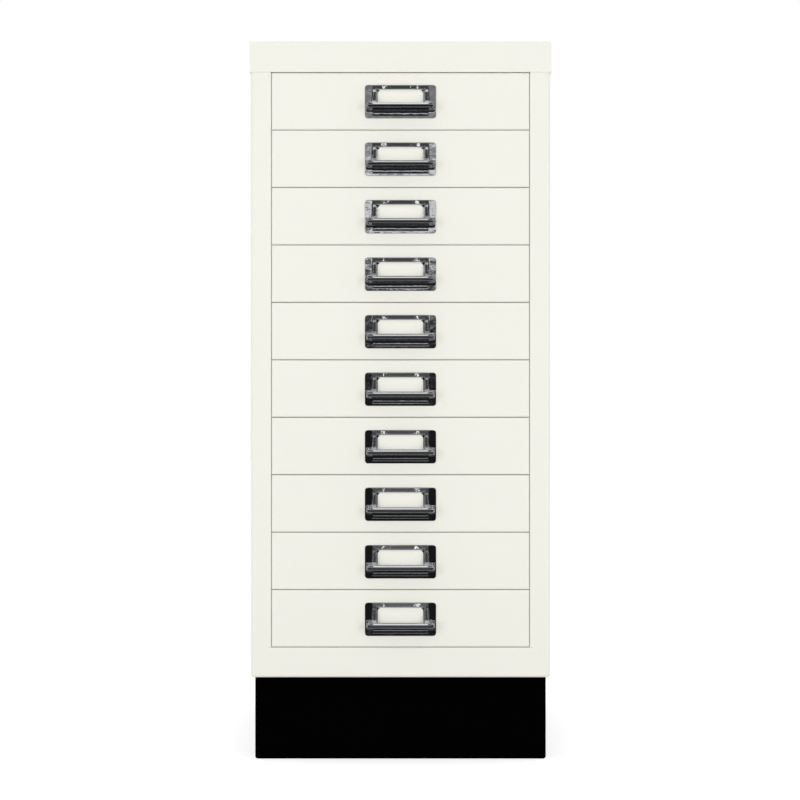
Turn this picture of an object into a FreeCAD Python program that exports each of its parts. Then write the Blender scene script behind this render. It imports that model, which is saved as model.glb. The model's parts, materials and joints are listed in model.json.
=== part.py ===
import FreeCAD, Part
import math
import os
import re
import Sketcher

# Multi-drawer steel cabinet on a plinth: a folded steel body, ten equal drawers that each slide out by
# themselves, and a plated handle with a label card on each drawer.
# Millimetres, +Z up, drawers facing -Y. The origin is the bottom centre of the whole object's box.

DRAWERS = 10
TOUCH = 0.001
BOLTS = [
    ("-bolt_half", "bolt_front_y"), ("bolt_half", "bolt_front_y"),
    ("-bolt_half", "bolt_rear_y"), ("bolt_half", "bolt_rear_y"),
]

SIZES = (
    ("body_width", 280.0, "outside width over the top cap"),
    ("body_depth", 380.0, "outside depth over the top cap"),
    ("body_height", 590.0, "height of the body without its plinth"),
    ("carcass_sheet", 1.0, "steel sheet of the body"),
    ("carcass_bend", 2.5, "outer bend radius of the body's edges"),
    ("cap_drop", 28.5, "depth of the top cap's skirt"),
    ("cap_bend", 2.0, "outer bend radius of the top cap"),
    ("cap_clearance", 0.1, "between the cap's skirt and the panels inside it"),
    ("cap_return", 14.0, "flange turned in under the cap's front skirt"),
    ("stile_width", 19.0, "front stile, from the side face to the opening"),
    ("stile_return", 22.0, "stile's inner edge turned to the rear"),
    ("return_bend", 1.6, "outer bend radius round the opening"),
    ("rail_height", 27.8, "front rail under the lowest drawer"),
    ("rail_return", 20.0, "front rail's flanges turned to the rear"),
    ("bottom_flange", 30.0, "side panel's flange turned in under the body"),
    ("rear_return", 16.0, "side panel's flange turned in at the rear"),
    ("pan_lap", 9.5, "base pan's lap on the side panels' bottom flanges"),
    ("pan_upturn", 12.0, "base pan's edges turned up"),
    ("pan_bend", 1.6, "outer bend radius along the base pan's sides"),
    ("upright_sheet", 1.2, "steel sheet of the rear uprights"),
    ("upright_depth", 30.0, "rear upright, from the rear panel forwards"),
    ("upright_foot", 14.0, "rear upright's flange on the rear panel"),
    ("runner_sheet", 0.9, "steel sheet of the runners"),
    ("runner_side_play", 0.4, "between a tray's lip and the runner's web"),
    ("runner_lift_play", 1.2, "above a tray's lip, under the upper leg"),
    ("runner_rest_play", 0.3, "between a tray's hook and the lower leg"),
    ("runner_leg_play", 0.7, "between a tray's wall and the runner's legs"),
    ("runner_end_gap", 1.0, "from a runner's rear end to the rear panel"),
    ("stop_tab_length", 2.5, "stop tab at a runner's front end"),
    ("plinth_height", 80.0, "height of the plinth"),
    ("plinth_sheet", 1.5, "steel sheet of the plinth"),
    ("plinth_bend", 3.0, "outer bend radius of the plinth"),
    ("plinth_front_setback", 25.0, "plinth's front behind the body's front"),
    ("plinth_side_setback", 2.4, "plinth's sides inside the side panels"),
    ("plinth_rear_setback", 3.0, "plinth's rear inside the body's rear"),
    ("plinth_flange", 24.0, "flanges turned in at the plinth's top and bottom"),
    ("bolt_radius", 3.0, "shank of the bolts that hold the plinth"),
    ("bolt_hole_play", 0.4, "round a bolt's shank in its holes"),
    ("bolt_side_inset", 14.0, "bolts inside the side panels' outer faces"),
    ("bolt_end_inset", 40.0, "bolts from the plinth's front and rear faces"),
    ("bolt_flats", 10.0, "across the flats of a bolt's head and of a nut"),
    ("bolt_head", 4.0, "height of a bolt's head"),
    ("bolt_length", 12.0, "length of a bolt's shank"),
    ("nut_height", 5.0, "height of a nut"),
    ("nut_play", 0.1, "round a bolt's shank in its nut"),
    ("drawer_gap", 0.5, "between one drawer front and the next"),
    ("drawer_side_gap", 0.4, "between a drawer front and the stile"),
    ("front_depth", 12.0, "depth of the folded drawer front"),
    ("front_sheet", 0.9, "steel sheet of the drawer front"),
    ("front_bend", 1.6, "outer bend radius of the drawer front"),
    ("front_flange", 8.0, "flange turned in behind the drawer front"),
    ("closed_gap", 0.3, "between a closed drawer front and the runner's end"),
    ("tray_sheet", 0.8, "steel sheet of the tray"),
    ("tray_bend", 1.5, "outer bend radius of the tray's walls"),
    ("tray_lift", 3.0, "tray's floor above the drawer front's lower edge"),
    ("tray_height", 44.0, "height of the tray's walls"),
    ("tray_lip", 5.0, "lip turned out along the tray's side walls"),
    ("tray_hook", 4.0, "height of the hook that rides in the runner"),
    ("tray_lip_bend", 1.2, "outer bend radius of the lip"),
    ("tray_rear_gap", 10.0, "from the tray's rear wall to the rear panel"),
    ("stop_setback", 75.0, "stop ear from the tray's rear wall"),
    ("stop_length", 8.0, "length of a stop ear"),
    ("stop_rise", 1.6, "stop ear above the tray's wall"),
    ("handle_width", 66.0, "handle's flange, across"),
    ("handle_height", 31.0, "handle's flange, up and down"),
    ("handle_drop", 11.5, "handle below the drawer front's upper edge"),
    ("handle_flange", 1.0, "thickness of the handle's flange"),
    ("handle_corner", 2.8, "corner radius of the handle's flange"),
    ("hood_width", 51.6, "hood round the label window, across"),
    ("hood_top", 0.6, "hood below the flange's upper edge"),
    ("hood_rise", 2.8, "hood's projection at its upper edge"),
    ("window_width", 42.3, "label window, across"),
    ("window_top", 4.0, "label window below the flange's upper edge"),
    ("window_corner", 2.8, "cut corners at the window's top"),
    ("window_bevel", 2.5, "bevel round the window's front edge"),
    ("lip_width", 62.8, "finger lip, across"),
    ("lip_drop", 17.5, "finger lip below the flange's upper edge"),
    ("lip_thickness", 5.0, "finger lip, up and down"),
    ("lip_projection", 15.0, "finger lip in front of the drawer front"),
    ("lip_corner", 4.0, "corners cut off the finger lip's ends"),
    ("nose_flat", 0.2, "flat along the middle of the finger lip's nose"),
    ("cup_width", 52.0, "finger cup, across"),
    ("cup_depth", 8.0, "finger cup behind the drawer front's face"),
    ("cup_wall", 1.0, "wall of the finger cup"),
    ("cup_margin", 2.8, "flange below the finger cup"),
    ("cup_scoop", 4.5, "radius along the finger cup's rear lower edge"),
    ("cup_play", 0.3, "round the finger cup in the drawer front's cut-out"),
    ("lug_width", 10.0, "snap lugs on the finger cup, across"),
    ("lug_length", 2.5, "snap lugs, front to rear"),
    ("lug_rise", 1.0, "snap lugs, out from the finger cup"),
    ("lug_play", 0.1, "between a snap lug and the drawer front's sheet"),
    ("card_slot", 0.7, "depth of the slot for the label card"),
    ("card_thickness", 0.4, "thickness of the label card"),
    ("card_overlap", 2.2, "label card behind the window's edges"),
    ("card_play", 0.4, "round the label card in its slot"),
)

# Lengths and places that follow from the sizes
WORKED = {
    "face_setback": "carcass_sheet + cap_clearance",
    "centre_y": "(lip_projection - face_setback) / 2",
    "cap_front_y": "centre_y - body_depth / 2",
    "cap_rear_y": "centre_y + body_depth / 2",
    "front_y": "cap_front_y + face_setback",
    "rear_y": "cap_rear_y - face_setback",
    "rear_panel_y": "rear_y - 2 * carcass_sheet",
    "panel_half": "body_width / 2 - face_setback",
    "panel_height": "body_height - carcass_sheet",
    "opening_half": "panel_half - stile_width",
    "rail_half": "opening_half + return_bend + carcass_sheet",
    "pan_half": "panel_half - bottom_flange + pan_lap",
    "drawer_pitch": f"(body_height - cap_drop - rail_height - drawer_gap) / {DRAWERS}",
    "front_half": "opening_half - drawer_side_gap",
    "front_height": "drawer_pitch - drawer_gap",
    "lip_half": "opening_half - runner_sheet - runner_side_play",
    "tray_half": "lip_half - tray_lip",
    "tray_top": "tray_lift + tray_height",
    "tray_rear": "rear_panel_y - tray_rear_gap - front_y",
    "runner_leg_half": "tray_half + runner_leg_play",
    "runner_bottom": "tray_top - tray_hook - runner_rest_play - runner_sheet",
    "runner_top": "tray_top + runner_lift_play + runner_sheet",
    "runner_front": "front_depth + closed_gap",
    "runner_rear": "rear_panel_y - runner_end_gap - front_y",
    "plinth_half": "panel_half - plinth_side_setback",
    "plinth_front_y": "front_y + plinth_front_setback",
    "plinth_rear_y": "rear_y - plinth_rear_setback",
    "bolt_half": "panel_half - bolt_side_inset",
    "bolt_front_y": "plinth_front_y + bolt_end_inset",
    "bolt_rear_y": "plinth_rear_y - bolt_end_inset",
    "bolt_seat": "plinth_height + carcass_sheet",
    "handle_top": "handle_height / 2",
    "handle_z": "front_height - handle_drop - handle_height / 2",
    "lip_top": "handle_top - lip_drop",
    "lip_bottom": "lip_top - lip_thickness",
    "nose_radius": "(lip_thickness - nose_flat) / 2",
    "nose_y": "nose_radius - lip_projection",
    "hood_z": "handle_top - hood_top",
    "cup_bottom": "cup_margin - handle_height / 2",
    "cup_half": "cup_width / 2 + cup_wall",
    "cup_low": "cup_bottom - cup_wall",
    "cup_high": "lip_bottom + cup_wall",
    "card_half": "window_width / 2 + card_overlap",
    "card_bottom": "lip_top - card_overlap",
    "card_top": "handle_top - window_top + card_overlap",
}

doc = FreeCAD.newDocument("cabinet")
sheet = doc.addObject("Spreadsheet::Sheet", "sizes")
for row, (alias, size, note) in enumerate(SIZES, 1):
    sheet.set(f"A{row}", alias)
    sheet.set(f"B{row}", str(size))
    sheet.set(f"C{row}", note)
    sheet.setAlias(f"B{row}", alias)
doc.recompute()

ALIASES = {alias for alias, size, note in SIZES}
PARTS = []


# Formulas on the sheet's cells
def formula(text):
    """Write out a formula in plain words as an expression on the sheet's cells."""

    def cell(match):
        word = match.group(0)
        if word in WORKED:
            return f"({formula(WORKED[word])})"
        return f"sizes.{word}" if word in ALIASES else word

    return re.sub(r"[a-z][a-z_]*", cell, text)


def value(text):
    """The number that a formula comes to."""
    return float(sheet.evalExpression(formula(text)))


def bind(item, path, text):
    item.setExpression(path, formula(text))


# Bodies, sketches and features
def new_body(label, y="0", z="0"):
    body = doc.addObject("PartDesign::Body", label)
    body.Label = label
    bind(body, "Placement.Base.y", y)
    bind(body, "Placement.Base.z", z)
    PARTS.append(body)
    return body


def origin_part(body, role):
    return next(item for item in body.Origin.OriginFeatures if item.Role == role)


def new_sketch(body, name, role, offset="0"):
    """A sketch on one of the body's origin planes, moved along that plane's normal by the offset."""
    sketch = body.newObject("Sketcher::SketchObject", name)
    sketch.AttachmentSupport = (origin_part(body, role), [""])
    sketch.MapMode = "FlatFace"
    bind(sketch, "AttachmentOffset.Base.z", offset)
    return sketch


def dimension(sketch, kind, geometry, end, text):
    constraint = Sketcher.Constraint(kind, -1, 1, geometry, end, value(text))
    number = sketch.addConstraint(constraint)
    bind(sketch, f"Constraints[{number}]", text)


def add_arc(sketch, before, after, centre, radius, left_turn):
    first, last = (before, after) if left_turn else (after, before)
    angles = [math.atan2(point.y - centre.y, point.x - centre.x) for point in (first, last)]
    circle = Part.Circle(centre, FreeCAD.Vector(0, 0, 1), radius)
    return sketch.addGeometry(Part.ArcOfCircle(circle, angles[0], angles[1]))


def outline(sketch, corners):
    """Draw a closed outline from corners (across, up) or (across, up, radius), each a formula.

    A side whose two ends share a formula runs straight along that axis, and a corner with a radius is an arc
    tangent to two such sides.
    """
    count = len(corners)
    points = [FreeCAD.Vector(value(corner[0]), value(corner[1]), 0) for corner in corners]
    before, after, arcs = [], [], {}
    for i, corner in enumerate(corners):
        arrive = (points[i] - points[i - 1]).normalize()
        leave = (points[(i + 1) % count] - points[i]).normalize()
        radius = value(corner[2]) if len(corner) > 2 else 0.0
        trim = radius * math.tan(arrive.getAngle(leave) / 2)
        before.append(points[i] - arrive * trim)
        after.append(points[i] + leave * trim)
        if radius:
            left_turn = arrive.cross(leave).z > 0
            side = FreeCAD.Vector(-arrive.y, arrive.x, 0) * (radius if left_turn else -radius)
            arcs[i] = (before[i] + side, radius, left_turn)
    upright, level = [], []
    for i in range(count):
        following = (i + 1) % count
        sketch.addGeometry(Part.LineSegment(after[i], before[following]))
        upright.append(corners[i][0] == corners[following][0])
        level.append(corners[i][1] == corners[following][1])
        if upright[i]:
            sketch.addConstraint(Sketcher.Constraint("Vertical", i))
            dimension(sketch, "DistanceX", i, 1, corners[i][0])
        if level[i]:
            sketch.addConstraint(Sketcher.Constraint("Horizontal", i))
            dimension(sketch, "DistanceY", i, 1, corners[i][1])
    for i, corner in enumerate(corners):
        last = (i - 1) % count
        if i in arcs:
            centre, radius, left_turn = arcs[i]
            arc = add_arc(sketch, before[i], after[i], centre, radius, left_turn)
            first_end, last_end = (1, 2) if left_turn else (2, 1)
            sketch.addConstraint(Sketcher.Constraint("Tangent", last, 2, arc, first_end))
            sketch.addConstraint(Sketcher.Constraint("Tangent", arc, last_end, i, 1))
            number = sketch.addConstraint(Sketcher.Constraint("Radius", arc, radius))
            bind(sketch, f"Constraints[{number}]", corner[2])
            continue
        sketch.addConstraint(Sketcher.Constraint("Coincident", last, 2, i, 1))
        if not (upright[last] or upright[i]):
            dimension(sketch, "DistanceX", i, 1, corner[0])
        if not (level[last] or level[i]):
            dimension(sketch, "DistanceY", i, 1, corner[1])


def rectangle(left, low, right, high, *radius):
    """The corners of a rectangle, rounded where a radius is given."""
    return [(across, up, *radius) for across, up in ((left, low), (right, low), (right, high), (left, high))]


def circle(sketch, across, up, radius):
    middle = FreeCAD.Vector(value(across), value(up), 0)
    number = sketch.addGeometry(Part.Circle(middle, FreeCAD.Vector(0, 0, 1), value(radius)))
    dimension(sketch, "DistanceX", number, 3, across)
    dimension(sketch, "DistanceY", number, 3, up)
    constraint = sketch.addConstraint(Sketcher.Constraint("Radius", number, value(radius)))
    bind(sketch, f"Constraints[{constraint}]", radius)


def pad(body, name, sketch, length, side="One side", flip=False):
    feature = body.newObject("PartDesign::Pad", name)
    feature.Profile = sketch
    feature.SideType = side
    feature.Reversed = flip
    bind(feature, "Length", length)
    return feature


def pocket(body, name, sketch, length="", side="One side", flip=False):
    """Cut a sketch into the body, right through where no length is given, and check that it cuts."""
    doc.recompute()
    whole = body.Shape.Volume
    feature = body.newObject("PartDesign::Pocket", name)
    feature.Profile = sketch
    feature.SideType = side
    feature.Reversed = flip
    if length:
        bind(feature, "Length", length)
    else:
        feature.Type = "ThroughAll"
    doc.recompute()
    if not body.Shape.Volume < whole:
        raise RuntimeError(f"{body.Label}: {name} cuts nothing")
    return feature


def at(**places):
    """A test that both ends of an edge lie at the given X, Y or Z."""
    wanted = [(axis, value(text)) for axis, text in places.items()]

    def test(edge):
        return all(abs(getattr(end, axis) - place) < TOUCH for axis, place in wanted for end in edge.Vertexes)

    return test


def soften(body, name, radius, *tests, kind="Fillet"):
    """Round or chamfer the edges of the body that pass one of the tests."""
    doc.recompute()
    base = body.Tip
    edges = enumerate(base.Shape.Edges, 1)
    names = [f"Edge{number}" for number, edge in edges if any(test(edge) for test in tests)]
    feature = body.newObject(f"PartDesign::{kind}", name)
    feature.Base = (base, names)
    bind(feature, "Radius" if kind == "Fillet" else "Size", radius)
    return feature


def mirrored(body, name, features):
    """Repeat features on the other side of the body's YZ plane."""
    feature = body.newObject("PartDesign::Mirrored", name)
    feature.Originals = features
    feature.MirrorPlane = (origin_part(body, "YZ_Plane"), [""])
    body.Tip = feature
    return feature


def other_hand(source, label):
    """The right-hand piece that mirrors a left-hand one."""
    piece = doc.addObject("Part::Mirroring", label)
    piece.Label = label
    piece.Source = source
    piece.Normal = FreeCAD.Vector(1, 0, 0)
    PARTS.append(piece)
    return piece


def copy_of(source, label, y, z):
    """One more of a piece, following the first one's features."""
    body = new_body(label, y, z)
    body.BaseFeature = source
    return body


# Top cap: a folded lid with skirts all round, and a flange under the front skirt over the first drawer
def build_top_cap():
    body = new_body("top_cap", z="plinth_height + body_height - cap_drop")
    plan = new_sketch(body, "cap_plan", "XY_Plane")
    outline(plan, rectangle("-body_width / 2", "cap_front_y", "body_width / 2", "cap_rear_y"))
    pad(body, "cap_block", plan, "cap_drop")
    soften(body, "cap_bends", "cap_bend", at(Z="cap_drop"))
    inside = new_sketch(body, "cap_inside", "XY_Plane")
    outline(inside, rectangle(
        "carcass_sheet - body_width / 2", "cap_front_y + carcass_sheet",
        "body_width / 2 - carcass_sheet", "cap_rear_y - carcass_sheet",
    ))
    pocket(body, "cap_hollow", inside, "cap_drop - carcass_sheet", flip=True)
    flange = new_sketch(body, "cap_flange_profile", "YZ_Plane")
    outline(flange, rectangle(
        "cap_front_y + carcass_sheet / 2", "0", "front_y + cap_return", "carcass_sheet",
    ))
    pad(body, "cap_flange", flange, "2 * (opening_half - drawer_side_gap)", side="Symmetric")


# Side panels: side, front stile with its return, rear return and bottom flange, folded from one sheet
def build_side_panels():
    body = new_body("side_panel_left", z="plinth_height")
    plan = new_sketch(body, "side_plan", "XY_Plane")
    outline(plan, rectangle("-panel_half", "front_y", "bottom_flange - panel_half", "rear_y"))
    pad(body, "side_block", plan, "panel_height")
    soften(
        body, "side_bends", "carcass_bend",
        at(X="-panel_half", Y="front_y"), at(X="-panel_half", Y="rear_y"),
        at(X="-panel_half", Z="0"), at(Y="front_y", Z="0"),
    )
    inside = new_sketch(body, "side_inside", "XY_Plane", "carcass_sheet")
    outline(inside, rectangle(
        "carcass_sheet - panel_half", "front_y + carcass_sheet",
        "bottom_flange - panel_half + carcass_sheet", "rear_y - carcass_sheet",
    ))
    pocket(body, "side_hollow", inside, "panel_height", flip=True)
    rear_cut = new_sketch(body, "side_rear_cut", "XY_Plane")
    outline(rear_cut, rectangle(
        "rear_return - panel_half", "rear_y - carcass_bend", "bottom_flange - panel_half + carcass_sheet",
        "rear_y + carcass_sheet",
    ))
    pocket(body, "side_rear_trim", rear_cut, flip=True)
    front_cut = new_sketch(body, "side_front_cut", "XY_Plane")
    outline(front_cut, rectangle(
        "-rail_half", "front_y - carcass_sheet", "bottom_flange - panel_half + carcass_sheet",
        "front_y + rail_return",
    ))
    pocket(body, "side_front_trim", front_cut, flip=True)
    stile = new_sketch(body, "stile_profile", "XY_Plane", "rail_height")
    outline(stile, [
        ("-rail_half", "front_y"),
        ("-opening_half", "front_y", "return_bend"),
        ("-opening_half", "front_y + stile_return"),
        ("-opening_half - carcass_sheet", "front_y + stile_return"),
        ("-opening_half - carcass_sheet", "front_y + carcass_sheet"),
        ("-rail_half", "front_y + carcass_sheet"),
    ])
    pad(body, "stile_return_fold", stile, "panel_height - rail_height")
    holes = new_sketch(body, "side_bolt_holes", "XY_Plane")
    for along in ("bolt_front_y", "bolt_rear_y"):
        circle(holes, "-bolt_half", along, "bolt_radius + bolt_hole_play")
    pocket(body, "side_bolt_clearance", holes, "2 * carcass_sheet", flip=True)
    other_hand(body, "side_panel_right")


# Front rail: a folded channel across the bottom of the front, flush with the stiles
def build_front_rail():
    body = new_body("front_rail", z="plinth_height")
    profile = new_sketch(body, "rail_profile", "YZ_Plane")
    outline(profile, [
        ("front_y", "0", "carcass_bend"),
        ("front_y + rail_return", "0"),
        ("front_y + rail_return", "carcass_sheet"),
        ("front_y + carcass_sheet", "carcass_sheet"),
        ("front_y + carcass_sheet", "rail_height - carcass_sheet"),
        ("front_y + rail_return", "rail_height - carcass_sheet"),
        ("front_y + rail_return", "rail_height"),
        ("front_y", "rail_height", "return_bend"),
    ])
    pad(body, "rail_channel", profile, "2 * rail_half", side="Symmetric")


# Rear panel: a flat sheet welded to the inside of the side panels' rear returns
def build_rear_panel():
    body = new_body("rear_panel", z="plinth_height + carcass_sheet")
    face = new_sketch(body, "rear_panel_plan", "XY_Plane")
    outline(face, rectangle(
        "carcass_bend - panel_half", "rear_panel_y", "panel_half - carcass_bend", "rear_y - carcass_sheet",
    ))
    pad(body, "rear_panel_sheet", face, "panel_height - carcass_sheet")


# Base pan: the body's floor, on the bottom flanges, with its side and rear edges turned up
def build_base_pan():
    body = new_body("base_pan", z="plinth_height + carcass_sheet")
    plan = new_sketch(body, "pan_plan", "XY_Plane")
    outline(plan, rectangle("-pan_half", "front_y + carcass_bend", "pan_half", "rear_panel_y"))
    pad(body, "pan_block", plan, "pan_upturn")
    soften(body, "pan_bends", "pan_bend", at(X="-pan_half", Z="0"), at(X="pan_half", Z="0"))
    inside = new_sketch(body, "pan_inside", "XY_Plane", "carcass_sheet")
    outline(inside, rectangle(
        "carcass_sheet - pan_half", "front_y", "pan_half - carcass_sheet", "rear_panel_y - carcass_sheet",
    ))
    pocket(body, "pan_hollow", inside, "pan_upturn", flip=True)


# Rear uprights: angles on the rear panel that carry the rear ends of the runners
def build_rear_uprights():
    body = new_body("rear_upright_left", z="plinth_height + carcass_sheet")
    profile = new_sketch(body, "upright_profile", "XY_Plane")
    outline(profile, [
        ("-opening_half", "rear_panel_y - upright_depth"),
        ("-opening_half", "rear_panel_y", "return_bend"),
        ("-opening_half - upright_foot", "rear_panel_y"),
        ("-opening_half - upright_foot", "rear_panel_y - upright_sheet"),
        ("-opening_half - upright_sheet", "rear_panel_y - upright_sheet"),
        ("-opening_half - upright_sheet", "rear_panel_y - upright_depth"),
    ])
    pad(body, "upright_angle", profile, "panel_height - carcass_sheet")
    other_hand(body, "rear_upright_right")


# Runners: small steel channels, one each side of every drawer, with a stop tab at the front end
def build_runners():
    lowest = "plinth_height + rail_height + drawer_gap"
    body = new_body("runners_left", "front_y", lowest)
    profile = new_sketch(body, "runner_profile", "XZ_Plane", "-runner_front")
    outline(profile, [
        ("-opening_half", "runner_bottom"),
        ("-runner_leg_half", "runner_bottom"),
        ("-runner_leg_half", "runner_bottom + runner_sheet"),
        ("-opening_half + runner_sheet", "runner_bottom + runner_sheet"),
        ("-opening_half + runner_sheet", "runner_top - runner_sheet"),
        ("-runner_leg_half", "runner_top - runner_sheet"),
        ("-runner_leg_half", "runner_top"),
        ("-opening_half", "runner_top"),
    ])
    channel = pad(body, "runner_channel", profile, "runner_rear - runner_front", flip=True)
    tab_profile = new_sketch(body, "stop_tab_profile", "XZ_Plane", "-runner_front")
    outline(tab_profile, rectangle(
        "-runner_leg_half - runner_sheet", "runner_top - runner_sheet",
        "tray_sheet - tray_half", "runner_top",
    ))
    tab = pad(body, "stop_tab", tab_profile, "stop_tab_length", flip=True)
    pattern = body.newObject("PartDesign::LinearPattern", "runner_stack")
    pattern.Originals = [channel, tab]
    pattern.Direction = (origin_part(body, "Z_Axis"), [""])
    pattern.Occurrences = DRAWERS
    bind(pattern, "Length", f"drawer_pitch * {DRAWERS - 1}")
    body.Tip = pattern
    other_hand(body, "runners_right")


# Plinth: a folded frame, set back at the front, with flanges turned in at its top and bottom
def build_plinth():
    body = new_body("plinth")
    plan = new_sketch(body, "plinth_plan", "XY_Plane")
    outline(plan, rectangle("-plinth_half", "plinth_front_y", "plinth_half", "plinth_rear_y"))
    pad(body, "plinth_block", plan, "plinth_height")
    soften(body, "plinth_bends", "plinth_bend", at(Z="0"))
    inside = new_sketch(body, "plinth_inside", "XY_Plane", "plinth_sheet")
    outline(inside, rectangle(
        "plinth_sheet - plinth_half", "plinth_front_y + plinth_sheet",
        "plinth_half - plinth_sheet", "plinth_rear_y - plinth_sheet",
    ))
    pocket(body, "plinth_hollow", inside, "plinth_height - 2 * plinth_sheet", flip=True)
    window = new_sketch(body, "plinth_window", "XY_Plane")
    outline(window, rectangle(
        "plinth_flange - plinth_half", "plinth_front_y + plinth_flange",
        "plinth_half - plinth_flange", "plinth_rear_y - plinth_flange",
    ))
    pocket(body, "plinth_opening", window, flip=True)
    holes = new_sketch(body, "plinth_bolt_holes", "XY_Plane", "plinth_height")
    for across, along in BOLTS:
        circle(holes, across, along, "bolt_radius + bolt_hole_play")
    pocket(body, "plinth_bolt_clearance", holes, "2 * plinth_sheet")


def hexagon(sketch, across, up, flats):
    """A regular hexagon round a point, given its width across the flats."""
    tip = f"{flats} / sqrt(3)"
    outline(sketch, [
        (f"{across} - {flats} / 2", f"{up} - {tip} / 2"),
        (across, f"{up} - {tip}"),
        (f"{across} + {flats} / 2", f"{up} - {tip} / 2"),
        (f"{across} + {flats} / 2", f"{up} + {tip} / 2"),
        (across, f"{up} + {tip}"),
        (f"{across} - {flats} / 2", f"{up} + {tip} / 2"),
    ])


# Bolts and nuts that hold the body to the plinth, through the flanges of the side panels and of the plinth
def build_fixings():
    bolts = new_body("plinth_bolts", z="bolt_seat")
    nuts = new_body("plinth_nuts", z="plinth_height - plinth_sheet")
    for number, (across, along) in enumerate(BOLTS, 1):
        head = new_sketch(bolts, f"bolt_head_{number}", "XY_Plane")
        hexagon(head, across, along, "bolt_flats")
        pad(bolts, f"bolt_head_block_{number}", head, "bolt_head")
        shank = new_sketch(bolts, f"bolt_shank_{number}", "XY_Plane")
        circle(shank, across, along, "bolt_radius")
        pad(bolts, f"bolt_shank_rod_{number}", shank, "bolt_length", flip=True)
        ring = new_sketch(nuts, f"nut_ring_{number}", "XY_Plane")
        hexagon(ring, across, along, "bolt_flats")
        circle(ring, across, along, "bolt_radius + nut_play")
        pad(nuts, f"nut_{number}", ring, "nut_height", flip=True)


# Drawer front: a folded pan with flanges turned in behind it and a cut-out for the handle
def build_drawer_front(label, y, z):
    body = new_body(label, y, z)
    face = new_sketch(body, "front_face", "XZ_Plane")
    outline(face, rectangle("-front_half", "0", "front_half", "front_height"))
    pad(body, "front_block", face, "front_depth", flip=True)
    soften(body, "front_bends", "front_bend", at(Y="0"))
    inside = new_sketch(body, "front_inside", "XZ_Plane", "-front_sheet")
    outline(inside, rectangle(
        "front_sheet - front_half", "front_sheet", "front_half - front_sheet", "front_height - front_sheet",
    ))
    pocket(body, "front_hollow", inside, "front_depth - 2 * front_sheet")
    window = new_sketch(body, "front_rear_window", "XZ_Plane", "-front_sheet")
    outline(window, rectangle(
        "front_flange - front_half", "front_flange",
        "front_half - front_flange", "front_height - front_flange",
    ))
    pocket(body, "front_rear_opening", window)
    cut = new_sketch(body, "handle_cut", "XZ_Plane")
    outline(cut, rectangle(
        "-cup_half - cup_play", "handle_z + cup_low - cup_play",
        "cup_half + cup_play", "handle_z + cup_high + cup_play",
    ))
    pocket(body, "handle_cut_out", cut, "2 * front_sheet")
    return body


# Drawer tray: four walls and a floor, hooked lips that ride in the runners, and the stop ears
def build_drawer_tray(label, y, z):
    body = new_body(label, y, z)
    plan = new_sketch(body, "tray_plan", "XY_Plane", "tray_lift")
    outline(plan, rectangle("-tray_half", "front_depth", "tray_half", "tray_rear"))
    pad(body, "tray_block", plan, "tray_height")
    soften(
        body, "tray_bends", "tray_bend", at(X="-tray_half", Z="tray_lift"), at(X="tray_half", Z="tray_lift"),
    )
    inside = new_sketch(body, "tray_inside", "XY_Plane", "tray_lift + tray_sheet")
    outline(inside, rectangle(
        "tray_sheet - tray_half", "front_depth + tray_sheet", "tray_half - tray_sheet",
        "tray_rear - tray_sheet",
    ))
    pocket(body, "tray_hollow", inside, "tray_height", flip=True)
    lip = new_sketch(body, "tray_lip_profile", "XZ_Plane", "-front_depth")
    outline(lip, [
        ("-tray_half", "tray_top - tray_sheet"),
        ("-tray_half", "tray_top"),
        ("-lip_half", "tray_top", "tray_lip_bend"),
        ("-lip_half", "tray_top - tray_hook"),
        ("tray_sheet - lip_half", "tray_top - tray_hook"),
        ("tray_sheet - lip_half", "tray_top - tray_sheet"),
    ])
    lip_pad = pad(body, "tray_lip_fold", lip, "tray_rear - front_depth", flip=True)
    ear = new_sketch(body, "stop_ear_profile", "YZ_Plane", "-tray_half")
    ear_rear = "tray_rear - stop_setback"
    outline(ear, rectangle(
        f"{ear_rear} - stop_length", "tray_top - tray_sheet", ear_rear, "tray_top + stop_rise",
    ))
    ear_pad = pad(body, "stop_ear", ear, "tray_sheet")
    mirrored(body, "tray_other_side", [lip_pad, ear_pad])
    return body


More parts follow.
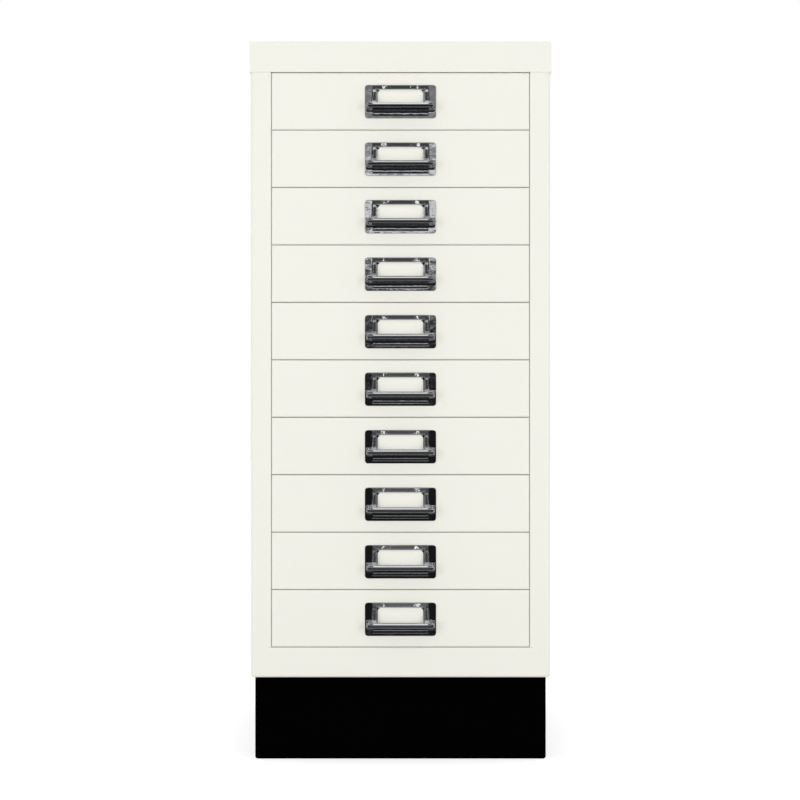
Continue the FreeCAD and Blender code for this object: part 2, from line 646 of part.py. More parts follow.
# Handle: a plated casting with a flange, a hood round the label window, a finger lip and a finger cup
def build_handle(label, y, z):
    body = new_body(label, y, z)
    plate = new_sketch(body, "handle_flange_face", "XZ_Plane")
    outline(plate, rectangle(
        "-handle_width / 2", "-handle_top", "handle_width / 2", "handle_top", "handle_corner",
    ))
    pad(body, "handle_flange_plate", plate, "handle_flange")
    nose = new_sketch(body, "lip_profile", "YZ_Plane")
    outline(nose, [
        ("0", "lip_bottom"),
        ("0", "lip_top"),
        ("-lip_projection", "lip_top", "nose_radius"),
        ("-lip_projection", "lip_bottom", "nose_radius"),
    ])
    pad(body, "lip_bar", nose, "lip_width", side="Symmetric")
    end = new_sketch(body, "lip_end", "XY_Plane")
    outline(end, [
        ("lip_width / 2 - lip_corner", "-lip_projection"),
        ("lip_width / 2", "-lip_projection"),
        ("lip_width / 2", "lip_corner - lip_projection"),
    ])
    end_cut = pocket(body, "lip_end_cut", end, "2 * lip_drop", side="Symmetric")
    mirrored(body, "lip_ends", [end_cut])
    hood = new_sketch(body, "hood_profile", "YZ_Plane")
    outline(hood, [
        ("0", "lip_top"),
        ("0", "hood_z"),
        ("-hood_rise", "hood_z"),
        ("nose_y", "lip_top"),
    ])
    pad(body, "hood_wedge", hood, "hood_width", side="Symmetric")
    window = new_sketch(body, "window_face", "XZ_Plane")
    outline(window, [
        ("-window_width / 2", "lip_top"),
        ("window_width / 2", "lip_top"),
        ("window_width / 2", "handle_top - window_top - window_corner"),
        ("window_width / 2 - window_corner", "handle_top - window_top"),
        ("window_corner - window_width / 2", "handle_top - window_top"),
        ("-window_width / 2", "handle_top - window_top - window_corner"),
    ])
    pocket(body, "label_window", window, flip=True)
    slope = FreeCAD.Vector(0, value("nose_y + hood_rise"), value("lip_top - hood_z")).normalize()
    ramp = FreeCAD.Vector(0, value("-hood_rise"), value("hood_z"))

    def on_ramp(edge):
        return all(abs((end.Point - ramp).cross(slope).x) < TOUCH for end in edge.Vertexes)

    def round_window(edge):
        return on_ramp(edge) and max(abs(end.X) for end in edge.Vertexes) < value("window_width / 2") + TOUCH

    soften(body, "window_bevel_cut", "window_bevel", round_window, kind="Chamfer")
    cup = new_sketch(body, "cup_outside", "YZ_Plane")
    outline(cup, [
        ("0", "cup_low"),
        ("cup_depth + cup_wall - cup_scoop", "cup_low"),
        ("cup_depth + cup_wall", "cup_low + cup_scoop"),
        ("cup_depth + cup_wall", "cup_high"),
        ("0", "cup_high"),
    ])
    pad(body, "cup_block", cup, "2 * cup_half", side="Symmetric")
    recess = new_sketch(body, "cup_inside", "YZ_Plane")
    outline(recess, [
        ("-handle_flange", "cup_bottom"),
        ("cup_depth", "cup_bottom", "cup_scoop"),
        ("cup_depth", "lip_bottom"),
        ("-handle_flange", "lip_bottom"),
    ])
    pocket(body, "cup_recess", recess, "cup_width", side="Symmetric")
    slot = new_sketch(body, "card_slot_face", "XZ_Plane")
    outline(slot, rectangle(
        "-card_half - card_play", "card_bottom - card_play",
        "card_half + card_play", "handle_top + card_play",
    ))
    pocket(body, "card_slot_cut", slot, "card_slot", flip=True)
    for name, level, out in (("lower_lug", "cup_low", "-lug_rise"), ("upper_lug", "cup_high", "lug_rise")):
        lug = new_sketch(body, f"{name}_profile", "YZ_Plane")
        outline(lug, [
            ("front_sheet + lug_play", level),
            ("front_sheet + lug_play + lug_length", level),
            ("front_sheet + lug_play", f"{level} + {out}"),
        ])
        pad(body, name, lug, "lug_width", side="Symmetric")
    return body


# Label card: a paper card in the slot behind the handle's window
def build_label_card(label, y, z):
    body = new_body(label, y, z)
    face = new_sketch(body, "card_face", "XZ_Plane")
    outline(face, rectangle("-card_half", "card_bottom", "card_half", "card_top"))
    pad(body, "card_sheet", face, "card_thickness")
    return body


# Drawers: the top one is drawn, and the others follow it down the body
def build_drawers():
    first = {}
    for number in range(1, DRAWERS + 1):
        tag = f"{number:02d}"
        up = f"plinth_height + rail_height + drawer_gap + drawer_pitch * {DRAWERS - number}"
        card_y = "front_y - (card_slot - card_thickness) / 2"
        pieces = (
            ("drawer_front", build_drawer_front, "front_y", up),
            ("drawer_tray", build_drawer_tray, "front_y", up),
            ("handle", build_handle, "front_y", f"{up} + handle_z"),
            ("label_card", build_label_card, card_y, f"{up} + handle_z"),
        )
        for name, build, along, level in pieces:
            if number == 1:
                first[name] = build(f"{name}_{tag}", along, level)
                doc.recompute()
            else:
                copy_of(first[name], f"{name}_{tag}", along, level)


build_top_cap()
build_side_panels()
build_front_rail()
build_rear_panel()
build_base_pan()
build_rear_uprights()
build_runners()
build_plinth()
build_fixings()
build_drawers()
doc.recompute()

# Nothing is written unless every object is sound
for item in doc.Objects:
    if {"Invalid", "Error"} & set(item.State):
        raise RuntimeError(f"{item.Label}: {item.State}")
for part in PARTS:
    if part.Shape.isNull() or not part.Shape.isValid():
        raise RuntimeError(f"{part.Label}: no sound shape")

os.makedirs("parts", exist_ok=True)
for part in PARTS:
    part.Shape.exportStep(f"parts/{part.Label}.step")
print(len(PARTS), "sub-parts written")
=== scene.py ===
import itertools
import json
import math

import bpy
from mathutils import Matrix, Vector

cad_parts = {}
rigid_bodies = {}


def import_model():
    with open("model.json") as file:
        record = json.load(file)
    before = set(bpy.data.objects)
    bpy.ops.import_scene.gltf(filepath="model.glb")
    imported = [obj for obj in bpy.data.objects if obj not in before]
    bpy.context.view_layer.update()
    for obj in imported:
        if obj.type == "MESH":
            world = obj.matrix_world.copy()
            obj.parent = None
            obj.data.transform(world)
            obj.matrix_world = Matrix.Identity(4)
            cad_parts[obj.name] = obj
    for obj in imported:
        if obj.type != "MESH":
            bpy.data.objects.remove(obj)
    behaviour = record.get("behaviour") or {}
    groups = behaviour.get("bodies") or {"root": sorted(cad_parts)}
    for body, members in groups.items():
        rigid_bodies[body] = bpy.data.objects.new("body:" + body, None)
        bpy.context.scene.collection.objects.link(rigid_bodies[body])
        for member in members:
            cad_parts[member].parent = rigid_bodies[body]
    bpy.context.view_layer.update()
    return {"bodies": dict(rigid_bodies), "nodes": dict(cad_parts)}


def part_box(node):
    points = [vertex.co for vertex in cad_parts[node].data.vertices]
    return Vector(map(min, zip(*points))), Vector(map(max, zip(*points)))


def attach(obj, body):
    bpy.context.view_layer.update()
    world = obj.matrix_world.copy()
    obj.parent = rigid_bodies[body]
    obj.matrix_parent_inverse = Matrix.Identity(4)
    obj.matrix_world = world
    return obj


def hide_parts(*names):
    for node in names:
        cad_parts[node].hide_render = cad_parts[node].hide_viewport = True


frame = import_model()
scene = bpy.context.scene
scene.view_settings.view_transform = "Standard"


# Camera: a long lens, square to the drawer fronts and level with the middle of the cabinet.
# The photograph shows 0.9275 mm to the pixel at the fronts, and the handles' lips give the distance.
# It has the cabinet half a pixel to the right.
MM = 0.001
PHOTO_PIXELS = 800
PIXEL = 0.9275 * MM
CAMERA_DISTANCE = 1.9
CAMERA_HEIGHT = 0.3374
CAMERA_X = -0.5 * PIXEL

front_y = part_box("drawer_front_01")[0].y
lens = bpy.data.cameras.new("product_camera")
lens.sensor_width = 36.0
lens.lens = lens.sensor_width * CAMERA_DISTANCE / (PIXEL * PHOTO_PIXELS)
camera = bpy.data.objects.new("product_camera", lens)
camera.location = (CAMERA_X, front_y - CAMERA_DISTANCE, CAMERA_HEIGHT)
camera.rotation_euler = (math.radians(90), 0.0, 0.0)
scene.collection.objects.link(camera)
scene.camera = camera


# Studio: an even white room light and two tall soft boxes in front, to the left and right. Only polished
# metal sees the room itself: dark below, a narrow white band just above level, grey walls with two white
# strips, and white above and behind. A band is given by the sine of its elevation and its colour.
def srgb(code):
    """A hex colour as linear red, green, blue and alpha."""
    parts = [int(code[i:i + 2], 16) / 255 for i in (1, 3, 5)]
    return (*(p / 12.92 if p <= 0.04045 else ((p + 0.055) / 1.055) ** 2.4 for p in parts), 1.0)


def add(tree, kind, inputs=None, **settings):
    """Add a node with its settings, and with values or other nodes' sockets on its inputs."""
    made = tree.nodes.new(kind)
    for name, setting in settings.items():
        setattr(made, name, setting)
    for name, given in (inputs or {}).items():
        if isinstance(given, bpy.types.NodeSocket):
            tree.links.new(given, made.inputs[name])
        else:
            made.inputs[name].default_value = given
    return made


ROOM_LIGHT = 0.8
WHITE = (1.0, 1.0, 1.0, 1.0)
DARK = srgb("#1b1b1c")
AHEAD_BANDS = (
    (0.015, "#1b1b1c"), (0.04, "#505153"), (0.068, "#6b6c6e"), (0.08, "#ffffff"), (0.098, "#ffffff"),
    (0.112, "#a6a7a9"), (0.15, "#7d7e80"), (0.22, "#6a6b6d"), (0.3, "#565759"), (0.42, "#464748"),
    (0.78, "#464748"), (0.9, "#b4b5b7"), (0.95, "#ffffff"),
)
ASIDE_BANDS = ((0.235, "#1b1b1c"), (0.3, "#78797b"), (0.9, "#78797b"))
CLUTTER_SCALE = 40.0
CLUTTER_SHIFT = 0.08
ASIDE_FROM, ASIDE_TO = 0.45, 0.75
BEHIND_FROM, BEHIND_TO = 0.15, 0.6
STRIP_PLACE = 0.105
STRIP_WIDTH = 0.016
STRIP_LOW, STRIP_HIGH = 0.06, 0.75
STRIP_COLOUR = (1.6, 1.6, 1.6, 1.0)

world = bpy.data.worlds.new("studio")
scene.world = world
world.use_nodes = True
room = world.node_tree
room.nodes.clear()
path = add(room, "ShaderNodeLightPath")
heading = add(room, "ShaderNodeTexCoord").outputs["Generated"]
split = add(room, "ShaderNodeSeparateXYZ", {"Vector": heading})
clutter = add(room, "ShaderNodeTexNoise", {
    "Vector": heading, "Scale": CLUTTER_SCALE, "Detail": 4.0, "Roughness": 0.7,
})
uneven = add(room, "ShaderNodeMapRange", {
    "Value": clutter.outputs["Fac"], "To Min": -CLUTTER_SHIFT, "To Max": CLUTTER_SHIFT,
})
height = add(room, "ShaderNodeMath", {0: split.outputs["Z"], 1: uneven.outputs["Result"]})
share = add(room, "ShaderNodeMapRange", {"Value": height.outputs[0], "From Min": -1.0})
tones = []
for bands in (AHEAD_BANDS, ASIDE_BANDS):
    tone = add(room, "ShaderNodeValToRGB", {"Fac": share.outputs["Result"]})
    tone.color_ramp.elements[0].color = DARK
    tone.color_ramp.elements[1].color = WHITE
    for sine, code in bands:
        tone.color_ramp.elements.new((1 + sine) / 2).color = srgb(code)
    tones.append(tone.outputs["Color"])
sideways = add(room, "ShaderNodeMath", {0: split.outputs["X"]}, operation="ABSOLUTE")
turned = add(room, "ShaderNodeMapRange", {
    "Value": sideways.outputs[0], "From Min": ASIDE_FROM, "From Max": ASIDE_TO,
}, interpolation_type="SMOOTHSTEP")
front_half = add(room, "ShaderNodeMix", {
    "Factor": turned.outputs["Result"], "A": tones[0], "B": tones[1],
}, data_type="RGBA")
ahead = add(room, "ShaderNodeMath", {0: split.outputs["Y"], 1: -1.0}, operation="MULTIPLY")
aside = add(room, "ShaderNodeMath", {0: split.outputs["X"], 1: ahead.outputs[0]}, operation="DIVIDE")
either = add(room, "ShaderNodeMath", {0: aside.outputs[0]}, operation="ABSOLUTE")
strip = add(room, "ShaderNodeMath", {
    0: either.outputs[0], 1: STRIP_PLACE, 2: STRIP_WIDTH / 2,
}, operation="COMPARE")
for socket, operation, limit in (
    (split.outputs["Z"], "GREATER_THAN", STRIP_LOW), (split.outputs["Z"], "LESS_THAN", STRIP_HIGH),
    (ahead.outputs[0], "GREATER_THAN", 0.0),
):
    inside = add(room, "ShaderNodeMath", {0: socket, 1: limit}, operation=operation)
    strip = add(room, "ShaderNodeMath", {0: strip.outputs[0], 1: inside.outputs[0]}, operation="MULTIPLY")
with_strips = add(room, "ShaderNodeMix", {
    "Factor": strip.outputs[0], "A": front_half.outputs["Result"], "B": STRIP_COLOUR,
}, data_type="RGBA")
behind = add(room, "ShaderNodeMapRange", {
    "Value": split.outputs["Y"], "From Min": BEHIND_FROM, "From Max": BEHIND_TO,
}, interpolation_type="SMOOTHSTEP")
walls = add(room, "ShaderNodeMix", {
    "Factor": behind.outputs["Result"], "A": with_strips.outputs["Result"], "B": WHITE,
}, data_type="RGBA")
plain = add(room, "ShaderNodeBackground", {"Color": WHITE, "Strength": ROOM_LIGHT})
seen_in_metal = add(room, "ShaderNodeBackground", {"Color": walls.outputs["Result"], "Strength": 1.0})
seen = add(room, "ShaderNodeBackground", {"Color": WHITE, "Strength": 1.0})
mirrored = add(room, "ShaderNodeMath", {
    0: path.outputs["Is Glossy Ray"], 1: path.outputs["Is Transmission Ray"],
}, operation="MAXIMUM")
direct = add(room, "ShaderNodeMath", {
    0: mirrored.outputs[0], 1: path.outputs["Diffuse Depth"],
}, operation="GREATER_THAN")
for_metal = add(room, "ShaderNodeMixShader", {
    0: direct.outputs[0], 1: plain.outputs[0], 2: seen_in_metal.outputs[0],
})
for_camera = add(room, "ShaderNodeMixShader", {
    0: path.outputs["Is Camera Ray"], 1: for_metal.outputs[0], 2: seen.outputs[0],
})
add(room, "ShaderNodeOutputWorld", {"Surface": for_camera.outputs[0]})

LAMP_WIDTH = 0.5
LAMP_HEIGHT = 1.2
LAMP_POWER = 10.0
LAMP_PLACES = {"soft_box_left": (-1.35, -2.2, 0.6), "soft_box_right": (1.35, -2.2, 0.6)}
LAMP_TARGET = Vector((0.0, 0.0, CAMERA_HEIGHT))

for name, place in LAMP_PLACES.items():
    lamp = bpy.data.lights.new(name, "AREA")
    lamp.shape = "RECTANGLE"
    lamp.size = LAMP_WIDTH
    lamp.size_y = LAMP_HEIGHT
    lamp.energy = LAMP_POWER
    box = bpy.data.objects.new(name, lamp)
    box.location = place
    box.visible_glossy = False
    box.rotation_euler = (LAMP_TARGET - Vector(place)).to_track_quat("-Z", "Y").to_euler()
    scene.collection.objects.link(box)


# Floor: a wide sheet of white paper, seen as white, that keeps the cabinet's soft shadow.
# Polished metal sees it white beside and behind the cabinet, grey in front, and dark further out.
FLOOR_HALF = 9.0
FLOOR_GLOW = 0.55
WHITE_FROM, WHITE_TO = -0.25, -0.1
GREY_FROM, GREY_TO = -1.2, -1.0

floor_mesh = bpy.data.meshes.new("floor")
corners = [(x * FLOOR_HALF, y * FLOOR_HALF, 0.0) for x, y in ((-1, -1), (1, -1), (1, 1), (-1, 1))]
floor_mesh.from_pydata(corners, [], [(0, 1, 2, 3)])
floor = bpy.data.objects.new("floor", floor_mesh)
scene.collection.objects.link(floor)
paper = bpy.data.materials.new("white_paper")
paper.use_nodes = True
sheet = paper.node_tree
sheet.nodes.clear()
path = add(sheet, "ShaderNodeLightPath")
place = add(sheet, "ShaderNodeTexCoord").outputs["Object"]
split = add(sheet, "ShaderNodeSeparateXYZ", {"Vector": place})
lit = add(sheet, "ShaderNodeMapRange", {
    "Value": split.outputs["Y"], "From Min": WHITE_FROM, "From Max": WHITE_TO,
}, interpolation_type="SMOOTHSTEP")
near = add(sheet, "ShaderNodeMapRange", {
    "Value": split.outputs["Y"], "From Min": GREY_FROM, "From Max": GREY_TO,
}, interpolation_type="SMOOTHSTEP")
ground = add(sheet, "ShaderNodeMix", {
    "Factor": near.outputs["Result"], "A": DARK, "B": srgb("#48494b"),
}, data_type="RGBA")
matt = add(sheet, "ShaderNodeBsdfDiffuse", {"Color": srgb("#e6e6e6")})
glow = add(sheet, "ShaderNodeEmission", {"Color": WHITE, "Strength": FLOOR_GLOW})
both = add(sheet, "ShaderNodeAddShader", {0: matt.outputs[0], 1: glow.outputs[0]})
unlit = add(sheet, "ShaderNodeEmission", {"Color": ground.outputs["Result"], "Strength": 1.0})
in_metal = add(sheet, "ShaderNodeMixShader", {
    0: lit.outputs["Result"], 1: unlit.outputs[0], 2: both.outputs[0],
})
direct = add(sheet, "ShaderNodeMath", {
    0: path.outputs["Is Glossy Ray"], 1: path.outputs["Diffuse Depth"],
}, operation="GREATER_THAN")
for_metal = add(sheet, "ShaderNodeMixShader", {
    0: direct.outputs[0], 1: matt.outputs[0], 2: in_metal.outputs[0],
})
for_camera = add(sheet, "ShaderNodeMixShader", {
    0: path.outputs["Is Camera Ray"], 1: for_metal.outputs[0], 2: both.outputs[0],
})
add(sheet, "ShaderNodeOutputMaterial", {"Surface": for_camera.outputs[0]})
floor_mesh.materials.append(paper)


# Body: cap, side panels, front rail, rear panel, base pan and rear uprights, folded from mild steel sheet
# and spot welded. All of it is sprayed and baked as one, so it has one off-white powder coat.
def new_material(name, slot_name):
    """A material with a Principled shader, and where to find the object's own coordinates in metres."""
    material = bpy.data.materials.new(name)
    material.use_nodes = True
    tree = material.node_tree
    shader = tree.nodes["Principled BSDF"]
    place = add(tree, "ShaderNodeTexCoord").outputs["Object"]
    material["slot"] = slot_name
    return material, tree, shader, place


def feed(tree, shader, **sockets):
    """Put values or sockets on a shader's inputs, whose names are written with underscores."""
    for name, given in sockets.items():
        socket = shader.inputs[name.replace("_", " ")]
        if isinstance(given, bpy.types.NodeSocket):
            tree.links.new(given, socket)
        else:
            socket.default_value = given


def finish_node(name, material):
    """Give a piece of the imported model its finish."""
    node = frame["nodes"][name]
    node.data.materials.clear()
    node.data.materials.append(material)


CLOUD_SIZE = 140 * MM
PEEL_SIZE = 2.2 * MM
PEEL_DEPTH = 0.02 * MM
COAT_UNEVENNESS = 0.03


def powder_coat(name, slot_name, pale, deep, roughness, gloss=0.5):
    """Baked polyester powder: an even colour, a low gloss, and the slight orange peel of flowed powder."""
    material, tree, shader, place = new_material(name, slot_name)
    cloud = add(tree, "ShaderNodeTexNoise", {"Vector": place, "Scale": 1 / CLOUD_SIZE, "Detail": 2.0})
    tint = add(tree, "ShaderNodeMix", {
        "Factor": cloud.outputs["Fac"], "A": srgb(pale), "B": srgb(deep),
    }, data_type="RGBA")
    peel = add(tree, "ShaderNodeTexNoise", {"Vector": place, "Scale": 1 / PEEL_SIZE, "Detail": 1.0})
    dull = add(tree, "ShaderNodeMapRange", {
        "Value": peel.outputs["Fac"], "To Min": roughness - COAT_UNEVENNESS,
        "To Max": roughness + COAT_UNEVENNESS,
    })
    skin = add(tree, "ShaderNodeBump", {
        "Height": peel.outputs["Fac"], "Distance": PEEL_DEPTH, "Strength": 0.5,
    })
    feed(
        tree, shader, Base_Color=tint.outputs["Result"], Roughness=dull.outputs["Result"],
        Normal=skin.outputs["Normal"], IOR=1.5, Specular_IOR_Level=gloss,
    )
    return material


body_coat = powder_coat("white_powder_coat", "white_paint", "#f4f3ea", "#f1f1e8", 0.46)
for node_name in (
    "top_cap", "side_panel_left", "side_panel_right", "front_rail", "rear_panel", "base_pan",
    "rear_upright_left", "rear_upright_right",
):
    finish_node(node_name, body_coat)


# Runners: channels rolled from bright zinc-plated strip, so they are smooth, grey and a little cloudy.
# The bolts and nuts that hold the plinth are plated alike.
SPANGLE_SIZE = 6 * MM


def zinc_plate(name):
    """Bright zinc on steel: a cool grey metal with a soft spangle."""
    material, tree, shader, place = new_material(name, "zinc_steel")
    spangle = add(tree, "ShaderNodeTexNoise", {"Vector": place, "Scale": 1 / SPANGLE_SIZE, "Detail": 3.0})
    tint = add(tree, "ShaderNodeMix", {
        "Factor": spangle.outputs["Fac"], "A": srgb("#a9acb0"), "B": srgb("#c3c6c9"),
    }, data_type="RGBA")
    dull = add(tree, "ShaderNodeMapRange", {"Value": spangle.outputs["Fac"], "To Min": 0.28, "To Max": 0.42})
    feed(tree, shader, Base_Color=tint.outputs["Result"], Metallic=1.0, Roughness=dull.outputs["Result"])
    return material


zinc = zinc_plate("bright_zinc")
for node_name in ("runners_left", "runners_right", "plinth_bolts", "plinth_nuts"):
    finish_node(node_name, zinc)


# Plinth: a frame folded from thicker sheet, with flanges turned in at its top and bottom, and bolted under
# the body. Its black powder coat is quite matt, so it shows as an even dark block.
plinth_coat = powder_coat("black_powder_coat", "black_paint", "#030303", "#020202", 0.75, 0.0)
finish_node("plinth", plinth_coat)


# Drawers: each a folded steel front and a folded steel tray with hooked lips that hang in the runners.
# They are welded together and coated like the body.
DRAWERS = {body.removeprefix("drawer_"): body for body in frame["bodies"] if body.startswith("drawer_")}

for number in DRAWERS:
    finish_node(f"drawer_front_{number}", body_coat)
    finish_node(f"drawer_tray_{number}", body_coat)


# Label cards: plain thin uncoated card, cut to slide in behind the handle's window.
# Real fibres are far finer than these, which are drawn coarse enough to show.
FIBRE_SIZE = 0.8 * MM


def label_card(name):
    """Uncoated card: matt and close to the paint's colour, with short fibres that barely show."""
    material, tree, shader, place = new_material(name, "card")
    fibre = add(tree, "ShaderNodeTexNoise", {"Vector": place, "Scale": 1 / FIBRE_SIZE, "Detail": 4.0})
    tint = add(tree, "ShaderNodeMix", {
        "Factor": fibre.outputs["Fac"], "A": srgb("#fbfaf1"), "B": srgb("#f8f7ee"),
    }, data_type="RGBA")
    feed(tree, shader, Base_Color=tint.outputs["Result"], Roughness=0.9)
    return material


card = label_card("plain_card")
for number in DRAWERS:
    finish_node(f"label_card_{number}", card)


# Handles: one zinc casting each, polished and plated with nickel and chrome. Plate, hood round the label
# window, finger lip and the cup behind it run into each other with a casting's soft corners. Each is drawn
# in millimetres from its own middle, -Y out of the drawer, as a straight coarse cage that is then shaped.

# How far the cuts lie from an edge that stays crisp
CRISP = 0.5
TIGHT = 0.2
KEEN = 0.15

# Plate and the slot for the card
FLANGE = 1.0
FLANGE_X = 33.0
FLANGE_Z = 15.5
FLANGE_ROUND = 2.8
SLOT = 0.7
SLOT_X = 23.75

# Finger lip
LIP_TOP = -2.0
LIP_BOTTOM = -7.0
LIP_FRONT = -5.2
LIP_X = 31.4
LIP_END = LIP_X - 1.0
LIP_REACH = 15.0
LIP_ROUND = 1.6
NOSE = (LIP_TOP - LIP_BOTTOM) / 2
LIP_MIDDLE = LIP_TOP - NOSE
LIP_FADE = 29.0
LIP_CREASE = 1.4
LIP_EDGE = 0.15
LIP_UNDERCUT = 0.75

# Label window
WINDOW_X = 21.15
WINDOW_TOP = 11.1
WINDOW_CUT = 2.8
CUT_X = WINDOW_X - WINDOW_CUT
CUT_Z = WINDOW_TOP - WINDOW_CUT
MIDDLE_X = 14.0
BEVEL = 0.35

# Hood: two legs and a low top bar
HOOD_X = 25.8
HOOD_TOP = 14.9
HOOD_REACH = 12.5
HOOD_BACK = HOOD_REACH - NOSE
HOOD_MIDDLE = 5.5
HOOD_DRAFT = 0.7
LEG_X = 22.3
BAR_LOW = HOOD_TOP - 2.2
BAR_HIGH = HOOD_TOP - 0.6
CROWN = 1.2
FOOT_LOW = LIP_TOP + 1.2
FOOT_HIGH = LIP_TOP + 1.8
FLARE = 1.2
FLARE_TOP = 3.0

# Cup behind the lip
CUP_BOTTOM = -12.7
CUP_DEPTH = 8.0
CUP_WALL = 1.0
SCOOP = 2.2

# Profiles as (place, value) stops: how proud the hood is by height, how that falls back to the plate, and
# how its legs flare at the foot. Then how the lip's top drops, its ends draw in and rise, and its front
# draws back below.
HOOD_LEAN = (
    (LIP_TOP, 12.3), (FOOT_LOW, 6.9), (FOOT_HIGH, 6.5), (FLARE_TOP, 5.5), (8.7, 4.1), (WINDOW_TOP, 3.4),
    (HOOD_TOP, 2.8),
)
HOOD_SIDE = ((FLANGE, 0.0), (HOOD_MIDDLE, 0.45), (HOOD_BACK - CRISP, 0.85), (HOOD_BACK, 1.0))
HOOD_FLARE = ((LIP_TOP, FLARE), (FOOT_LOW, 0.75 * FLARE), (FLARE_TOP, 0.0))
LIP_FALL = ((HOOD_X, 1.0), (LIP_FADE, 0.45))
LIP_DROP = ((HOOD_REACH, 0.0), (LIP_REACH - CRISP, 0.6), (LIP_REACH, 2.1))
LIP_PULL = ((LIP_BOTTOM, 2.0), (LIP_BOTTOM + CRISP, 1.0), (LIP_MIDDLE, 0.0), (LIP_TOP, 1.6))
LIP_RISE = ((HOOD_X, 0.5), (LIP_END, 0.5), (LIP_X, 0.25), (FLANGE_X, 0.0))
LIP_BACK = ((LIP_BOTTOM, 0.75), (LIP_BOTTOM + CRISP, 0.5), (LIP_FRONT, 0.0))


def in_casting(x, y, z):
    """Whether a point lies in the metal, before the cage is shaped."""
    x = abs(x)
    window = x < WINDOW_X and LIP_TOP < z < WINDOW_TOP
    recess = x < HOOD_X and CUP_BOTTOM < z < LIP_BOTTOM and y < CUP_DEPTH
    slot = x < SLOT_X and z > LIP_MIDDLE and -SLOT < y < 0
    if window or recess or slot:
        return False
    plate = -FLANGE < y < 0
    leg_or_bar = x > LEG_X or z > WINDOW_TOP
    hood = leg_or_bar and x < HOOD_X and LIP_TOP < z < HOOD_TOP and -HOOD_REACH < y < 0
    lip = x < LIP_X and LIP_BOTTOM < z < LIP_TOP and y < 0
    cup = x < HOOD_X + CUP_WALL and CUP_BOTTOM - CUP_WALL < z < LIP_MIDDLE and y > 0
    return plate or hood or lip or cup


def cell_cage(cuts, inside):
    """The skin of the cells between three lists of cuts whose middles lie inside, as points and faces."""
    filled = {
        cell for cell in itertools.product(*(range(len(line) - 1) for line in cuts))
        if inside(*((line[i] + line[i + 1]) / 2 for line, i in zip(cuts, cell)))
    }
    points, faces = {}, []
    for cell in sorted(filled):
        for axis in range(3):
            for side in (0, 1):
                beside = list(cell)
                beside[axis] += 2 * side - 1
                if tuple(beside) in filled:
                    continue
                first, second = (axis + 1) % 3, (axis + 2) % 3
                face = []
                for a, b in ((0, 0), (1, 0), (1, 1), (0, 1)):
                    corner = list(cell)
                    corner[axis] += side
                    corner[first] += a
                    corner[second] += b
                    face.append(points.setdefault(tuple(corner), len(points)))
                faces.append(face if side else face[::-1])
    return [[line[i] for line, i in zip(cuts, corner)] for corner in points], faces


def follow(value, *stops):
    """Read a value off a broken line through (value, result) stops, level past its ends."""
    for (a, first), (b, second) in itertools.pairwise(stops):
        if value <= b:
            return first + (second - first) * max(0.0, value - a) / (b - a)
    return stops[-1][1]


def round_off(a, b, end_a, end_b, radius):
    """Bend a square corner of the grid onto a quarter circle."""
    u = (a - end_a + radius) / radius
    v = (b - end_b + radius) / radius
    if min(u, v) <= 0:
        return a, b
    return (
        end_a - radius + radius * u * math.sqrt(1 - v * v / 2),
        end_b - radius + radius * v * math.sqrt(1 - u * u / 2),
    )


def open_window(x, y, z):
    """Cut the window's top corners in the plate, and break the hood's edge round it on the front."""
    if y >= -FLANGE and (x, z) == (WINDOW_X, WINDOW_TOP):
        return x - WINDOW_CUT / 2, z - WINDOW_CUT / 2
    if y == -HOOD_REACH and z >= LIP_TOP:
        x = follow(x, (0.0, 0.0), (LEG_X, LEG_X + BEVEL), (HOOD_X, HOOD_X))
        z = follow(z, (LIP_TOP, LIP_TOP), (WINDOW_TOP, WINDOW_TOP + BEVEL), (HOOD_TOP, HOOD_TOP))
    return x, z


def lean_hood(x, y, z):
    """Lean the hood's front back from the lip to its low top bar, which is crowned a little across."""
    rise = follow(z, *HOOD_LEAN) - FLANGE
    rise -= CROWN * (x / HOOD_X) ** 2 * follow(z, (CUT_Z, 0.0), (WINDOW_TOP, 1.0))
    stops = [(reach, share * (rise - BEVEL)) for reach, share in HOOD_SIDE]
    return -FLANGE - follow(-y, *stops, (HOOD_REACH, rise))


def shape_lip(x, y, z):
    """Shape the lip: a slope down from its top, an upright front that draws in below, and round ends."""
    if z == LIP_TOP:
        fall = follow(x, *LIP_FALL)
        drop = fall * follow(-y, *LIP_DROP)
        reach = follow(
            -y, (0.0, 0.0), (HOOD_REACH, HOOD_REACH), (LIP_REACH - CRISP, LIP_REACH - LIP_CREASE * fall),
            (LIP_REACH, LIP_REACH - LIP_EDGE),
        )
    else:
        drop = 0.0
        back = follow(z, *LIP_BACK)
        reach = follow(
            -y, (0.0, 0.0), (HOOD_REACH, HOOD_REACH - LIP_UNDERCUT * back), (LIP_REACH, LIP_REACH - back),
        )
    x = follow(x, (0.0, 0.0), (HOOD_X, HOOD_X), (LIP_X, LIP_X - follow(z, *LIP_PULL)))
    x, reach = round_off(x, reach, LIP_X, LIP_REACH, LIP_ROUND)
    return x, -reach, drop


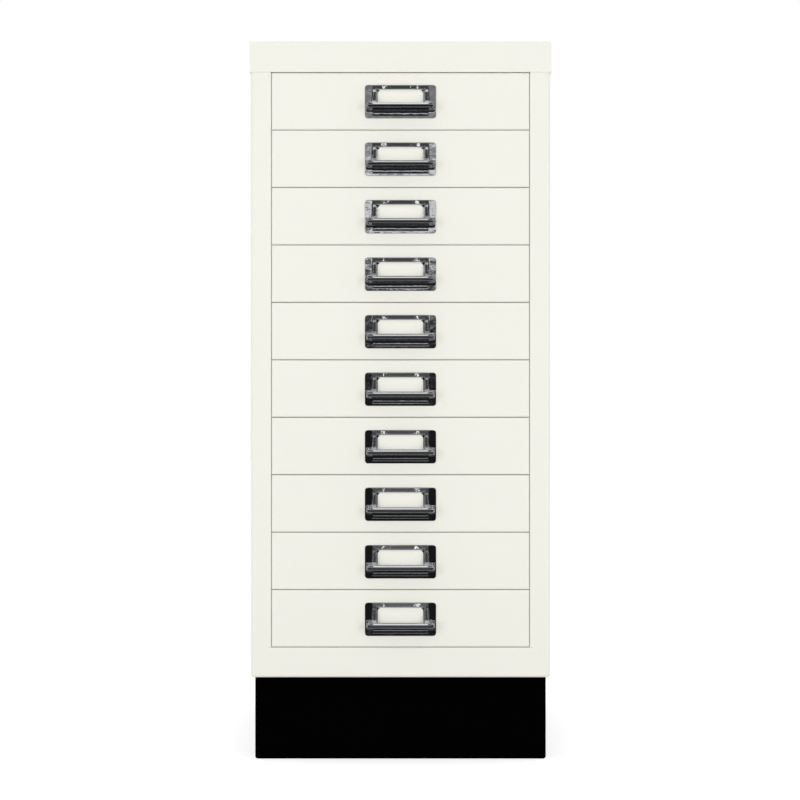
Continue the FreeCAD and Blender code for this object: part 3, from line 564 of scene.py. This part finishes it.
def shape_point(x, y, z):
    """Move a point of the straight cage to where the casting has it."""
    side = math.copysign(1.0, x)
    x = abs(x)
    level = z
    proud = y < -FLANGE
    if y <= -FLANGE and z >= LIP_TOP and x >= HOOD_X:
        spread = follow(z, *HOOD_FLARE)
        if not proud:
            spread = max(spread, HOOD_DRAFT)
        if z == LIP_TOP:
            z += follow(x, *LIP_RISE)
        x = follow(x, (HOOD_X, HOOD_X + spread), (LIP_X, LIP_X), (FLANGE_X, FLANGE_X))
    else:
        x, z = open_window(x, y, z)
    if proud and level >= LIP_TOP and y >= -HOOD_REACH:
        y = lean_hood(x, y, level)
    if proud and LIP_BOTTOM <= level <= LIP_TOP:
        x, y, drop = shape_lip(x, y, level)
        z -= drop
    if not proud:
        x, rim = round_off(x, abs(z), FLANGE_X, FLANGE_Z, FLANGE_ROUND)
        z = math.copysign(rim, z)
    if y > 0 and z == LIP_MIDDLE:
        z = LIP_BOTTOM + CUP_WALL
    return [side * x * MM, y * MM, z * MM]


def build_handle_mesh():
    """The casting as a shaped cage, whose cuts lie close together where the real edges are crisp."""
    across = (
        0.0, MIDDLE_X, CUT_X - CRISP, CUT_X, WINDOW_X, WINDOW_X + TIGHT, LEG_X - KEEN, LEG_X, LEG_X + CRISP,
        SLOT_X, HOOD_X - CRISP, HOOD_X, HOOD_X + CUP_WALL, LIP_FADE, LIP_END, LIP_X, FLANGE_X - TIGHT,
        FLANGE_X,
    )
    along = (
        -LIP_REACH, -LIP_REACH + CRISP, -HOOD_REACH, -HOOD_BACK, -HOOD_BACK + CRISP, -HOOD_MIDDLE, -FLANGE,
        -SLOT, 0.0, CUP_DEPTH - SCOOP, CUP_DEPTH, CUP_DEPTH + CUP_WALL,
    )
    up = (
        -FLANGE_Z, -FLANGE_Z + TIGHT, CUP_BOTTOM - CUP_WALL, CUP_BOTTOM, CUP_BOTTOM + SCOOP, LIP_BOTTOM,
        LIP_BOTTOM + CRISP, LIP_FRONT, LIP_MIDDLE, LIP_TOP, FOOT_LOW, FOOT_HIGH, FLARE_TOP, CUT_Z - CRISP,
        CUT_Z, WINDOW_TOP, BAR_LOW, BAR_HIGH, HOOD_TOP, FLANGE_Z,
    )
    both_sides = sorted({sign * x for x in across for sign in (-1, 1)})
    points, faces = cell_cage((both_sides, along, up), in_casting)
    mesh = bpy.data.meshes.new("handle_casting")
    mesh.from_pydata([shape_point(*point) for point in points], [], faces)
    mesh.polygons.foreach_set("use_smooth", [True] * len(mesh.polygons))
    mesh.update()
    return mesh


WAVE_SIZE = 7 * MM
WAVE_DEPTH = 0.25 * MM


def chrome_plate(name):
    """Chrome over polished nickel: a near mirror, a little wavy because a casting is never quite flat."""
    material, tree, shader, place = new_material(name, "bright_plating")
    where = add(tree, "ShaderNodeObjectInfo").outputs["Location"]
    own = add(tree, "ShaderNodeVectorMath", {0: place, 1: where})
    wave = add(tree, "ShaderNodeTexNoise", {
        "Vector": own.outputs["Vector"], "Scale": 1 / WAVE_SIZE, "Detail": 2.5,
    })
    ripple = add(tree, "ShaderNodeBump", {
        "Height": wave.outputs["Fac"], "Distance": WAVE_DEPTH, "Strength": 0.5,
    })
    haze = add(tree, "ShaderNodeMapRange", {"Value": wave.outputs["Fac"], "To Min": 0.03, "To Max": 0.07})
    feed(
        tree, shader, Base_Color=srgb("#dcdddf"), Metallic=1.0, Roughness=haze.outputs["Result"],
        Normal=ripple.outputs["Normal"],
    )
    return material


chrome = chrome_plate("bright_chrome")
handle_mesh = build_handle_mesh()
handle_mesh.materials.append(chrome)
for number, body in DRAWERS.items():
    low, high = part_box(f"handle_{number}")
    handle = bpy.data.objects.new(f"chrome_handle_{number}", handle_mesh)
    handle.location = (0.0, front_y, (low.z + high.z) / 2)
    scene.collection.objects.link(handle)
    rounding = handle.modifiers.new("rounding", "SUBSURF")
    rounding.levels = 2
    rounding.render_levels = 2
    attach(handle, body)
    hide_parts(f"handle_{number}")
